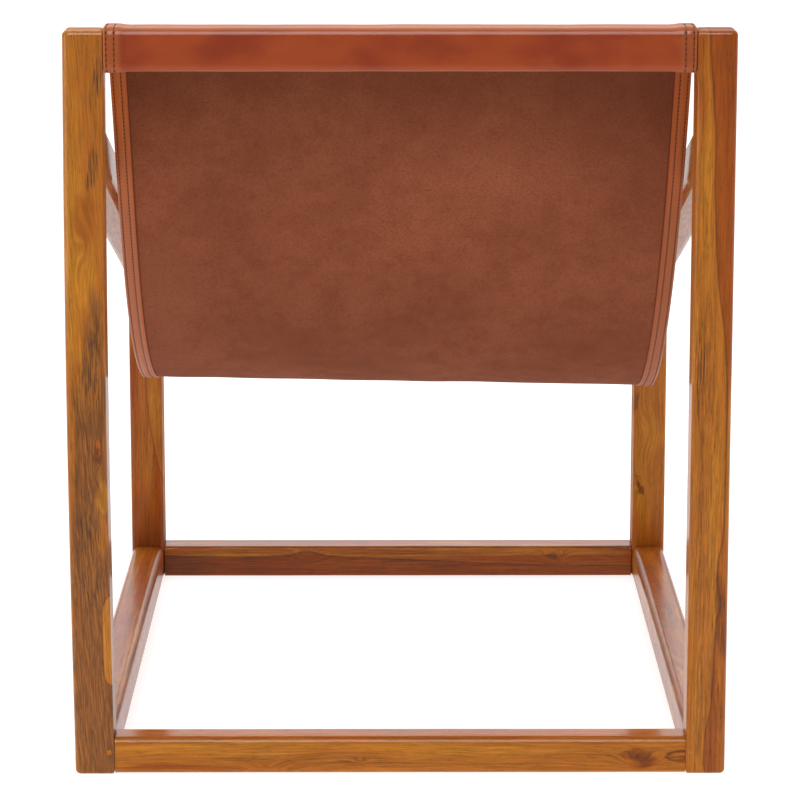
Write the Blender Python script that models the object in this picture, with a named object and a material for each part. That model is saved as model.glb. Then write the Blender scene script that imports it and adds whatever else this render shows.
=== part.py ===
"""Sling lounge chair: a square-section hardwood frame with one hide of leather slung in it.

Metres, +Z up. The sitter faces -Y, and left is the sitter's left, +X. The origin lies on the
floor under the middle of the chair. The two side frames are trapezoids: a tall rear post, a
short front post, a bottom rail on the floor and an arm rail that slopes down to the front. Two
bottom rails and two round-edged bars join them, and the leather is looped round the two bars.
Every rail ends in a tenon, which sits in a mortise and is locked by a wooden pin.
"""

import math

import bmesh
import bpy
from mathutils import Vector

# Frame, overall
WIDTH = 0.660
DEPTH = 0.853
HEIGHT = 0.755

# Wooden members
POST_SIDE = 0.040
RAIL_SIDE = 0.038
BAR_SIDE = 0.038
ARM_WIDTH = 0.038
ARM_HEIGHT = 0.046
ARM_REAR_DROP = 0.099
ARM_FRONT_TOP = 0.403
FRONT_BAR_DROP = 0.002

# Rounded edges
POST_EDGE = 0.0045
RAIL_EDGE = 0.005
SIDE_RAIL_TOP_EDGE = 0.008
ARM_EDGE = 0.008
BAR_EDGE = 0.005
ARM_END_EDGE = 0.003
EDGE_STEPS = 3

# Joints
FIT = 0.0003
TENON_THICK = 0.012
TENON_TALL = 0.026
CROSS_TENON = 0.016
SIDE_TENON = 0.026
SIDE_TENON_INSET = 0.009
ARM_TENON = 0.022
PIN_DIAMETER = 0.006
PIN_LENGTH = 0.026
PIN_INSET = 0.0055
PIN_HEIGHT = 0.023
ARM_PIN_RISE = 0.014
PIN_SIDES = 16
OVERRUN = 0.004

# Leather sling
SLING_GAP = 0.001
LEATHER = 0.0026
HEM_STEP = 0.0012
HEM_WIDTH = 0.017
SEAT_DIP = 0.056
LOOP_TAIL = 0.014
LOOP_DRIFT = 0.012
LOOP_BEND = 0.022
CORNER_STEPS = 5
DRIFT_STEPS = 4
SAG_STEPS = 34

# Colours, roughness
TEAK = (0.40, 0.16, 0.045)
DARK_TEAK = (0.28, 0.10, 0.03)
PALE_WOOD = (0.62, 0.36, 0.15)
HIDE = (0.30, 0.075, 0.028)
LACQUER_ROUGHNESS = 0.28
HIDE_ROUGHNESS = 0.5

SIDES = {"left": 1, "right": -1}
ARM_SLOPE = (HEIGHT - ARM_REAR_DROP - ARM_FRONT_TOP) / (DEPTH - POST_SIDE)
FRONT_BAR_TOP = ARM_FRONT_TOP - ARM_HEIGHT - FRONT_BAR_DROP
INNER_FACE = WIDTH / 2 - POST_SIDE
POST_X = WIDTH / 2 - POST_SIDE / 2
REAR_Y = DEPTH / 2 - POST_SIDE / 2
REAR_POST_FRONT = DEPTH / 2 - POST_SIDE


def clear_scene():
    for obj in list(bpy.data.objects):
        bpy.data.objects.remove(obj, do_unlink=True)


def new_collection(name):
    collection = bpy.data.collections.new(name)
    bpy.context.scene.collection.children.link(collection)
    return collection


clear_scene()
CHAIR = new_collection("sling_lounge_chair")
HELPERS = new_collection("cutters")


def new_object(name, bm, location, collection):
    mesh = bpy.data.meshes.new(name)
    bm.to_mesh(mesh)
    bm.free()
    obj = bpy.data.objects.new(name, mesh)
    obj.location = location
    collection.objects.link(obj)
    return obj


def finish(obj, colour, roughness):
    """Smooth shading and a material of its own."""
    material = bpy.data.materials.new(obj.name + "_finish")
    material.use_nodes = True
    shader = material.node_tree.nodes["Principled BSDF"]
    shader.inputs["Base Color"].default_value = (*colour, 1.0)
    shader.inputs["Roughness"].default_value = roughness
    shader.inputs["Metallic"].default_value = 0.0
    obj.data.materials.append(material)
    if obj.type == "MESH":
        obj.data.shade_smooth()
        obj.data.set_sharp_from_angle(angle=math.radians(40))


def block(size):
    """A box about the origin."""
    bm = bmesh.new()
    bmesh.ops.create_cube(bm, size=1.0)
    bmesh.ops.scale(bm, vec=size, verts=bm.verts)
    return bm


def round_edges(bm, radius, chosen):
    """Rounds the edges that chosen picks by their direction and middle point."""
    edges = []
    for edge in bm.edges:
        first, last = (vert.co for vert in edge.verts)
        if chosen((last - first).normalized(), (first + last) / 2):
            edges.append(edge)
    bmesh.ops.bevel(
        bm, geom=edges, offset=radius, segments=EDGE_STEPS, profile=0.5, affect="EDGES"
    )


def along(axis):
    """Picks the edges that run along one axis."""
    return lambda direction, middle: abs(direction[axis]) > 1 - FIT


def lean(bm, slope):
    """Slides the box's rear end up by slope times its length, so that its ends stay upright."""
    for vert in bm.verts:
        vert.co.z += slope * vert.co.y


def arm_top(y):
    return ARM_FRONT_TOP + ARM_SLOPE * (y + DEPTH / 2)


def arm_middle(y):
    return arm_top(y) - ARM_HEIGHT / 2


def arm_under(y):
    return arm_top(y) - ARM_HEIGHT


def helper(name, bm, location):
    obj = new_object(name, bm, location, HELPERS)
    obj.hide_render = True
    obj.display_type = "WIRE"
    return obj


def combine(obj, operation, other):
    modifier = obj.modifiers.new(other.name, "BOOLEAN")
    modifier.operation = operation
    modifier.solver = "EXACT"
    modifier.object = other


def join_with_tenon(name, rail, post, size, centre, reach, slope=0.0):
    """Adds a tenon to the rail and cuts its mortise in the post.

    size and centre are those of the part that stands out of the rail, and reach is the unit
    vector along which it stands out.
    """
    size = Vector(size)
    reach = Vector(reach)
    length = Vector(abs(part) for part in reach)
    rise = Vector((0, 0, slope))
    lap = reach * (OVERRUN / 2)
    tenon = block(size + length * OVERRUN)
    lean(tenon, slope)
    root = Vector(centre) - lap
    root += rise * (root.y - centre[1])
    combine(rail, "UNION", helper(name + "_tenon", tenon, root))
    clear = Vector((FIT, FIT, FIT)) * 2
    mortise = block(size + clear + length * OVERRUN)
    lean(mortise, slope)
    combine(post, "DIFFERENCE", helper(name + "_mortise", mortise, root))


def drive_pin(name, face_point, inward, members):
    """A round pin, flush with the face it was driven from, in a hole through the members."""
    face_point = Vector(face_point)
    inward = Vector(inward)
    turn = Vector((0, 0, 1)).rotation_difference(inward).to_matrix()
    hole = bmesh.new()
    hole_depth = PIN_LENGTH + FIT + OVERRUN
    bmesh.ops.create_cone(
        hole, cap_ends=True, segments=PIN_SIDES, depth=hole_depth,
        radius1=PIN_DIAMETER / 2 + FIT, radius2=PIN_DIAMETER / 2 + FIT,
    )
    bmesh.ops.rotate(hole, matrix=turn, verts=hole.verts)
    centre = face_point + inward * (hole_depth / 2 - OVERRUN)
    cutter = helper(name + "_hole", hole, centre)
    for member in members:
        combine(member, "DIFFERENCE", cutter)
    pin = bmesh.new()
    bmesh.ops.create_cone(
        pin, cap_ends=True, segments=PIN_SIDES, depth=PIN_LENGTH,
        radius1=PIN_DIAMETER / 2, radius2=PIN_DIAMETER / 2,
    )
    bmesh.ops.rotate(pin, matrix=turn, verts=pin.verts)
    obj = new_object(name, pin, face_point + inward * (PIN_LENGTH / 2), CHAIR)
    finish(obj, PALE_WOOD, LACQUER_ROUGHNESS)


def rear_post(name, side):
    bm = block((POST_SIDE, POST_SIDE, HEIGHT))
    round_edges(bm, POST_EDGE, lambda direction, middle: True)
    obj = new_object(name, bm, (side * POST_X, REAR_Y, HEIGHT / 2), CHAIR)
    finish(obj, DARK_TEAK, LACQUER_ROUGHNESS)
    return obj


def front_post(name, side):
    """Its top follows the underside of the arm rail that rests on it."""
    height = arm_under(-REAR_Y) - FIT
    bm = block((POST_SIDE, POST_SIDE, height))
    for vert in bm.verts:
        if vert.co.z > 0:
            vert.co.z += ARM_SLOPE * vert.co.y
    upper = -height / 2 + POST_SIDE
    round_edges(bm, POST_EDGE, lambda direction, middle: middle.z < upper)
    obj = new_object(name, bm, (side * POST_X, -REAR_Y, height / 2), CHAIR)
    finish(obj, TEAK, LACQUER_ROUGHNESS)
    return obj


def cross_rail(name, y, top, thick, edge):
    """A rail or bar along X, between the inner faces of two posts."""
    bm = block((2 * (INNER_FACE - FIT), thick, thick))
    round_edges(bm, edge, along(0))
    obj = new_object(name, bm, (0, y, top - thick / 2), CHAIR)
    finish(obj, TEAK, LACQUER_ROUGHNESS)
    return obj


def bottom_rail(name, side):
    """A side rail on the floor. Its top inner edge is rounded more than the others."""
    bm = block((RAIL_SIDE, DEPTH - 2 * (POST_SIDE + FIT), RAIL_SIDE))

    def long_edge(direction, middle):
        return abs(direction.y) > 1 - FIT

    def top_inner(direction, middle):
        return long_edge(direction, middle) and middle.z > 0 and side * middle.x < 0

    round_edges(bm, SIDE_RAIL_TOP_EDGE, top_inner)
    corner = RAIL_SIDE / 2 - FIT
    round_edges(
        bm,
        RAIL_EDGE,
        lambda direction, middle: long_edge(direction, middle)
        and abs(middle.x) > corner
        and abs(middle.z) > corner,
    )
    obj = new_object(name, bm, (side * POST_X, 0, RAIL_SIDE / 2), CHAIR)
    finish(obj, TEAK, LACQUER_ROUGHNESS)
    return obj


def arm_rail(name, side):
    """It butts against the rear post and lies over the front post, flush with its front."""
    rear = REAR_POST_FRONT - FIT
    front = -DEPTH / 2
    middle_y = (rear + front) / 2
    bm = block((ARM_WIDTH, rear - front, ARM_HEIGHT))
    round_edges(bm, ARM_EDGE, along(1))
    end = (front - rear) / 2 + FIT
    round_edges(bm, ARM_END_EDGE, lambda direction, middle: middle.y < end)
    lean(bm, ARM_SLOPE)
    obj = new_object(name, bm, (side * POST_X, middle_y, arm_middle(middle_y)), CHAIR)
    finish(obj, TEAK, LACQUER_ROUGHNESS)
    return obj


def cross_joints(rail, posts, y, height, pin_height, pin_face, label):
    """Tenons both ends of a cross rail. pin_face is +1 where the pins come from the rear."""
    for word, side in SIDES.items():
        join_with_tenon(
            f"{word}_{label}",
            rail,
            posts[word],
            (CROSS_TENON, TENON_THICK, TENON_TALL),
            (side * (INNER_FACE + CROSS_TENON / 2), y, height),
            (side, 0, 0),
        )
        face = (side * (INNER_FACE + PIN_INSET), y + pin_face * POST_SIDE / 2, pin_height)
        drive_pin(f"{word}_{label}_pin", face, (0, -pin_face, 0), (rail, posts[word]))


def bottom_rail_joints(word, side, rail, rear, front):
    """The tenons lie near the outer face, clear of the cross rails' tenons."""
    tenon_x = side * (WIDTH / 2 - SIDE_TENON_INSET - TENON_THICK / 2)
    for end, post, label in ((1, rear, "rear"), (-1, front, "front")):
        join_with_tenon(
            f"{word}_bottom_rail_{label}",
            rail,
            post,
            (TENON_THICK, SIDE_TENON, TENON_TALL),
            (tenon_x, end * (REAR_POST_FRONT + SIDE_TENON / 2), RAIL_SIDE / 2),
            (0, end, 0),
        )
        face = (side * WIDTH / 2, end * (REAR_POST_FRONT + PIN_INSET), PIN_HEIGHT)
        drive_pin(f"{word}_bottom_rail_{label}_pin", face, (-side, 0, 0), (rail, post))


def arm_joints(word, side, arm, rear, front):
    """The arm's tenon goes back into the rear post, and the front post's goes up into the arm."""
    middle = REAR_POST_FRONT + ARM_TENON / 2
    join_with_tenon(
        f"{word}_arm_rear",
        arm,
        rear,
        (TENON_THICK, ARM_TENON, TENON_TALL),
        (side * POST_X, middle, arm_middle(middle)),
        (0, 1, 0),
        ARM_SLOPE,
    )
    pin_y = REAR_POST_FRONT + PIN_INSET
    face = (side * WIDTH / 2, pin_y, arm_middle(pin_y))
    drive_pin(f"{word}_arm_rear_pin", face, (-side, 0, 0), (arm, rear))

    under = arm_under(-REAR_Y)
    slant = ARM_SLOPE * POST_SIDE / 2
    join_with_tenon(
        f"{word}_arm_front",
        front,
        arm,
        (TENON_THICK, TENON_TALL, ARM_TENON + slant),
        (side * POST_X, -REAR_Y, under + (ARM_TENON - slant) / 2),
        (0, 0, 1),
    )
    face = (side * (POST_X + ARM_WIDTH / 2), -REAR_Y, under + ARM_PIN_RISE)
    drive_pin(f"{word}_arm_front_pin", face, (-side, 0, 0), (arm, front))


def loop_points(centre, leave, lift):
    """The flesh side of the leather round one bar, from its tail to where the sling leaves.

    Points are (y, z). leave is the unit vector along which the sling leaves the bar, over the
    face whose outward normal is lift. The tail lies on that face, under the main layer.
    """
    flat = BAR_SIDE / 2 - BAR_EDGE
    inner = FIT + HEM_STEP
    outer = inner + LEATHER + FIT + HEM_STEP
    points = [centre + leave * (flat - LOOP_TAIL) + lift * (BAR_SIDE / 2 + inner)]
    start = lift
    for turn in (leave, -lift, -leave, lift):
        corner = centre + (start + turn) * flat
        for step in range(CORNER_STEPS + 1):
            angle = math.pi / 2 * step / CORNER_STEPS
            normal = start * math.cos(angle) + turn * math.sin(angle)
            points.append(corner + normal * (BAR_EDGE + inner))
        start = turn
    for step in range(1, DRIFT_STEPS + 1):
        share = step / DRIFT_STEPS
        smooth = share * share * (3 - 2 * share)
        offset = BAR_SIDE / 2 + inner + (outer - inner) * smooth
        points.append(centre + leave * (LOOP_DRIFT * share - flat) + lift * offset)
    points.append(centre + leave * flat + lift * (BAR_SIDE / 2 + outer))
    return points


def hanging_curve(rear, front, low):
    """The catenary through both points that hangs down to the height low.

    Returns its scale, its lowest point's distance in front of the rear point, and that height.
    """
    span = rear.x - front.x
    drop = front.y - rear.y

    def lowest(scale):
        tilt = math.asinh(drop / (2 * scale * math.sinh(span / (2 * scale))))
        distance = span / 2 - scale * tilt
        return distance, rear.y - scale * (math.cosh(distance / scale) - 1)

    small, large = span / 8, span * 8
    for _ in range(60):
        scale = (small + large) / 2
        distance, height = lowest(scale)
        if distance < span and height < low:
            small = scale
        else:
            large = scale
    return scale, distance, height


def sling_points():
    """The whole route of the leather's flesh side, as (y, z), from the top tail to the front."""
    down, up = Vector((0, -1)), Vector((0, 1))
    forward, back = Vector((-1, 0)), Vector((1, 0))
    outer = 2 * (FIT + HEM_STEP) + LEATHER
    top_loop = loop_points(Vector((REAR_Y, HEIGHT - BAR_SIDE / 2)), down, forward)
    front_centre = Vector((-REAR_Y, FRONT_BAR_TOP - BAR_SIDE / 2))
    front_loop = loop_points(front_centre, back, up)
    front_corner = front_centre + (back + up) * (BAR_SIDE / 2 - BAR_EDGE)

    def top_bend(angle):
        return top_loop[-1] + (down * math.sin(angle) + forward * (1 - math.cos(angle))) * LOOP_BEND

    def front_bend(angle):
        normal = up * math.cos(angle) + back * math.sin(angle)
        return front_corner + normal * (BAR_EDGE + outer)

    top_angle = front_angle = math.radians(30)
    for _ in range(40):
        rear, front = top_bend(top_angle), front_bend(front_angle)
        scale, distance, height = hanging_curve(rear, front, FRONT_BAR_TOP - SEAT_DIP)
        first = -distance / scale
        last = (rear.x - front.x - distance) / scale
        top_angle = math.pi / 2 + math.atan(math.sinh(first))
        front_angle = math.atan(math.sinh(last))

    points = list(top_loop)
    for step in range(1, CORNER_STEPS):
        points.append(top_bend(top_angle * step / CORNER_STEPS))
    for step in range(SAG_STEPS + 1):
        run = math.sinh(first) + (math.sinh(last) - math.sinh(first)) * step / SAG_STEPS
        place = math.asinh(run)
        ahead = distance + scale * place
        points.append(Vector((rear.x - ahead, height + scale * (math.cosh(place) - 1))))
    for step in range(1, CORNER_STEPS):
        points.append(front_bend(front_angle * (1 - step / CORNER_STEPS)))
    points.extend(reversed(front_loop))
    return points


def flat_curve(name, points, collection, closed):
    """A straight-sided 2D curve through the points."""
    curve = bpy.data.curves.new(name, "CURVE")
    curve.dimensions = "2D"
    curve.fill_mode = "NONE"
    spline = curve.splines.new("POLY")
    spline.points.add(len(points) - 1)
    for knot, point in zip(spline.points, points):
        knot.co = (point[0], point[1], 0, 1)
    spline.use_cyclic_u = closed
    obj = bpy.data.objects.new(name, curve)
    collection.objects.link(obj)
    return obj


def leather_sling():
    """One hide, with a folded hem that steps out on the flesh side along both long edges."""
    half = INNER_FACE - SLING_GAP
    hem = half - HEM_WIDTH
    section = flat_curve(
        "sling_section",
        (
            (LEATHER, -half), (LEATHER, half), (-HEM_STEP, half), (-HEM_STEP, hem),
            (0, hem), (0, -hem), (-HEM_STEP, -hem), (-HEM_STEP, -half),
        ),
        HELPERS,
        True,
    )
    section.hide_render = True
    route = flat_curve("sling_route", sling_points(), CHAIR, False)
    route.data.bevel_mode = "OBJECT"
    route.data.bevel_object = section
    route.data.use_fill_caps = True
    bpy.context.view_layer.update()
    graph = bpy.context.evaluated_depsgraph_get()
    mesh = bpy.data.meshes.new_from_object(route.evaluated_get(graph))
    bpy.data.objects.remove(route)
    bm = bmesh.new()
    bm.from_mesh(mesh)
    bmesh.ops.remove_doubles(bm, verts=bm.verts, dist=FIT / 10)
    for vert in bm.verts:
        vert.co = Vector((vert.co.z, vert.co.x, vert.co.y))
    bmesh.ops.recalc_face_normals(bm, faces=bm.faces)
    obj = new_object("leather_sling", bm, (0, 0, 0), CHAIR)
    finish(obj, HIDE, HIDE_ROUGHNESS)


def build():
    rear_posts = {word: rear_post(word + "_rear_post", side) for word, side in SIDES.items()}
    front_posts = {word: front_post(word + "_front_post", side) for word, side in SIDES.items()}
    rear_rail = cross_rail("rear_bottom_rail", REAR_Y, RAIL_SIDE, RAIL_SIDE, RAIL_EDGE)
    front_rail = cross_rail("front_bottom_rail", -REAR_Y, RAIL_SIDE, RAIL_SIDE, RAIL_EDGE)
    top_bar = cross_rail("top_sling_bar", REAR_Y, HEIGHT, BAR_SIDE, BAR_EDGE)
    front_bar = cross_rail("front_sling_bar", -REAR_Y, FRONT_BAR_TOP, BAR_SIDE, BAR_EDGE)

    rail_middle = RAIL_SIDE / 2
    top_middle = HEIGHT - BAR_SIDE / 2
    front_middle = FRONT_BAR_TOP - BAR_SIDE / 2
    cross_joints(rear_rail, rear_posts, REAR_Y, rail_middle, PIN_HEIGHT, 1, "rear_rail")
    cross_joints(front_rail, front_posts, -REAR_Y, rail_middle, PIN_HEIGHT, -1, "front_rail")
    cross_joints(top_bar, rear_posts, REAR_Y, top_middle, top_middle, -1, "top_bar")
    cross_joints(front_bar, front_posts, -REAR_Y, front_middle, front_middle, 1, "front_bar")
    for word, side in SIDES.items():
        rail = bottom_rail(word + "_bottom_rail", side)
        arm = arm_rail(word + "_arm_rail", side)
        bottom_rail_joints(word, side, rail, rear_posts[word], front_posts[word])
        arm_joints(word, side, arm, rear_posts[word], front_posts[word])
    leather_sling()


build()
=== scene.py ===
"""Sling lounge chair, dressed: rounded hardwood members and one hide with sewn hems.

Metres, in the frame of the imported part. The camera looks at the chair's rear, from +Y.
"""

import math

import bmesh
import bpy
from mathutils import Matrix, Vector, noise


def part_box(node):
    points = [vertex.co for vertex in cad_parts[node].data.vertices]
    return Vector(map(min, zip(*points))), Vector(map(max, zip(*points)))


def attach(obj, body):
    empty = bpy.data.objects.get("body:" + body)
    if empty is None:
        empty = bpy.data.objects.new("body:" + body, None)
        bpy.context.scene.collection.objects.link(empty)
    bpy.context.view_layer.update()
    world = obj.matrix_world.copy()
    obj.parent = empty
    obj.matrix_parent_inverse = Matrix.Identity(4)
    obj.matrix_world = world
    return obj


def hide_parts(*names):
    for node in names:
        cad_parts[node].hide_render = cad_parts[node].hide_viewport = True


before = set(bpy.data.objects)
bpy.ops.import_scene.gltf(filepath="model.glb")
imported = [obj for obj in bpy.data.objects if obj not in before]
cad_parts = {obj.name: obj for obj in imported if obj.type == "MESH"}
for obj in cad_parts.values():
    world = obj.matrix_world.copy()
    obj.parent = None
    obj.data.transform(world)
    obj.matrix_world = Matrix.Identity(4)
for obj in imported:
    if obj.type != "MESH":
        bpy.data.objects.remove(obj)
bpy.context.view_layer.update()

MM = 0.001
BODY = "root"

# Camera, fitted to the corners of the two frames
CAMERA_AT = (0.0113, 3.8488, 1.0797)
CAMERA_PITCH = math.radians(11.427)
CAMERA_YAW = math.radians(0.186)
CAMERA_LENS = 158.031

# Wooden members
ARC_STEPS = 7
SLICE = 0.022
HAND_WORK = 0.00008
HAND_WORK_SCALE = 16
JOINT_GAP = 0.0003
FINEST_ROUND = 0.0003
CRISP_EDGE = 0.0008
EDGE_FADE = 0.02
SHARP_DEGREES = 50

SCENE = bpy.context.scene


def make_camera():
    data = bpy.data.cameras.new("camera")
    data.lens = CAMERA_LENS
    data.clip_end = 100
    camera = bpy.data.objects.new("camera", data)
    camera.location = CAMERA_AT
    camera.rotation_euler = math.pi / 2 - CAMERA_PITCH, 0, math.pi - CAMERA_YAW
    SCENE.collection.objects.link(camera)
    SCENE.camera = camera


# Shader nodes


class Work:
    """Holds the material that is being made and the node tree that nodes are added to."""

    material = tree = None


def fill(socket, value):
    """Links a socket, or gives it a number, a vector or a colour of three parts."""
    if isinstance(value, bpy.types.NodeSocket):
        Work.tree.links.new(value, socket)
    elif socket.type == "RGBA" and len(value) == 3:
        socket.default_value = (*value, 1.0)
    else:
        socket.default_value = value


def node(kind, values=None, **settings):
    """Adds a shader node, sets it, and fills its inputs by name or number."""
    made = Work.tree.nodes.new("ShaderNode" + kind)
    for key, value in settings.items():
        setattr(made, key, value)
    for key, value in (values or {}).items():
        fill(made.inputs[key], value)
    return made


def parts_of(vector):
    return node("SeparateXYZ", {0: vector}).outputs


def object_place():
    return node("TexCoord").outputs["Object"]


def drawn(name):
    """A vector that the mesh carries at each point."""
    return node("Attribute", attribute_name=name).outputs["Vector"]


def calc(operation, *values, clamp=False):
    made = node("Math", dict(enumerate(values)), operation=operation, use_clamp=clamp)
    return made.outputs[0]


def times(first, second, clamp=False):
    return calc("MULTIPLY", first, second, clamp=clamp)


def times_plus(value, factor, added):
    return calc("MULTIPLY_ADD", value, factor, added)


def cloud(vector, scale, detail=2.0, roughness=0.5, shift=(0, 0, 0)):
    """Smooth noise between 0 and 1. The scale is one number or one for each axis."""
    if isinstance(scale, tuple):
        moved = node("VectorMath", {0: vector, 1: scale, 2: shift}, operation="MULTIPLY_ADD")
        vector, scale = moved.outputs[0], 1.0
    values = {"Vector": vector, "Scale": scale, "Detail": detail, "Roughness": roughness}
    return node("TexNoise", values).outputs[0]


def smooth(value, low, high, to_low=0.0, to_high=1.0):
    """to_low below low, to_high above high, and a soft step between them."""
    made = node(
        "MapRange",
        {"Value": value, "From Min": low, "From Max": high, "To Min": to_low, "To Max": to_high},
        interpolation_type="SMOOTHSTEP",
    )
    return made.outputs[0]


def mix(share, first, second, kind="MIX"):
    """Two colours mixed, with share of the second."""
    made = node("Mix", {0: share, 6: first, 7: second}, data_type="RGBA", blend_type=kind)
    return made.outputs[2]


def new_material(name):
    Work.material = bpy.data.materials.new(name)
    Work.material.use_nodes = True
    Work.tree = Work.material.node_tree


def plug(**values):
    """Fills or links the shader's inputs. An underscore in a name stands for a space."""
    shader = Work.tree.nodes["Principled BSDF"]
    for key, value in values.items():
        fill(shader.inputs[key.replace("_", " ")], value)
    return Work.material


def coat_share(weight, rim=0.4):
    """The weight of a coat, of which the share rim is left where the surface is seen edge on."""
    if rim == 1.0:
        return weight
    facing = node("LayerWeight", {"Blend": 0.5}).outputs["Facing"]
    return smooth(facing, 0.8, 0.94, weight, weight * rim)


def bump(height, depth, strength=1.0):
    made = node("Bump", {"Height": height, "Distance": depth, "Strength": strength})
    return made.outputs[0]


# Wood finish: colours, waves of each noise in a metre, ring shapes, and lengths in mm

GOLD = (0.47, 0.147, 0.0125)
LIGHT_GOLD = (0.57, 0.215, 0.015)
RED_BROWN = (0.325, 0.063, 0.003)
DEEP_RED = (0.15, 0.028, 0.003)
BROWN = (0.295, 0.102, 0.022)
SMOKE = (0.125, 0.047, 0.015)
DARK_GRAIN = (0.07, 0.02, 0.005)
SAPWOOD = (0.56, 0.2, 0.022)
KNOT_ORANGE = (0.5, 0.12, 0.01)
WINE = (0.24, 0.038, 0.002)

SWAY_SCALE = (3.1, 22, 22)
SWING_SCALE = (13, 70, 70)
WEAR_SCALE = (6, 60, 60)
ZONE_SCALE = (2.3, 30, 30)
PALE_SCALE = (4, 60, 60)
FLECK_SCALE = (38, 700, 700)
FIBRE_SCALE = (22, 650, 650)
PORE_SCALE = (110, 900, 900)
WAX_SCALE = (30, 60, 60)
BROAD_RING = ((0.55, 0.45), (0.84, 1.0), (0.93, 0.4))
THIN_RING = ((0.5, 0.2), (0.86, 1.0), (0.95, 0.3))
THIN_RINGS_IN_BROAD = 2.3
LINE_REACH = 24
RING_SWING = 5.0
EDGE_SWING = 15
END_SWING = 70
INLAY_SHIFT = 10
INLAY_SLANT = -0.5
EYE_SHAPE = (2.4, 1.1, 1.6)


def away(value, middle, size):
    """How many times its size a value lies from the middle."""
    return calc("DIVIDE", calc("SUBTRACT", value, middle), size)


def square_sum(first, second):
    return calc("ADD", times(first, first), times(second, second))


def bell(value, middle, width):
    """1 where value is middle, falling off to both sides over width."""
    off = away(value, middle, width)
    return calc("EXPONENT", times(times(off, off), -1.0))


def line_at(along, length, knots):
    """The place across the member, in metres, of a grain line that passes the knots.

    Knots are (mm along, mm across).
    """
    curve = node("FloatCurve", {1: calc("DIVIDE", along, length)})
    points = curve.mapping.curves[0].points
    while len(points) < len(knots):
        points.new(0.5, 0.5)
    for point, (at, across) in zip(points, sorted(knots)):
        point.location = (at * MM / length, 0.5 + across / (2 * LINE_REACH))
    curve.mapping.update()
    middle = calc("SUBTRACT", curve.outputs[0], 0.5)
    return times(middle, 2 * LINE_REACH * MM)


def growth_rings(reach, spacing, shares):
    """Dark lines, one for each growth ring, that come on slowly and end at once."""
    phase = calc("FRACT", calc("DIVIDE", reach, spacing * MM))
    ramp = node("ValToRGB", {0: phase})
    ramp.color_ramp.interpolation = "EASE"
    stops = ramp.color_ramp.elements
    for place, level in shares:
        stops.new(place).color = (level, level, level, 1)
    stops[0].color = stops[len(stops) - 1].color = (0, 0, 0, 1)
    return ramp.outputs[0]


def spot(along, across, at, place, half_long, half_wide, strength, soft):
    """strength inside an oval of the member's surface and 0 outside it, sizes in mm."""
    off_long = away(along, at * MM, half_long * MM)
    off_wide = away(across, place * MM, half_wide * MM)
    far = square_sum(off_long, off_wide)
    return smooth(far, 1.0 - soft, 1.0 + soft, strength, 0.0)


def one_side(along, across, length, knots, soft, to_side, strength):
    """strength on one side of a grain line, 0 on the other, with a step soft mm wide."""
    off = calc("SUBTRACT", across, line_at(along, length, knots))
    return smooth(times(off, float(to_side)), -soft * MM, soft * MM, 0.0, strength)


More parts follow.
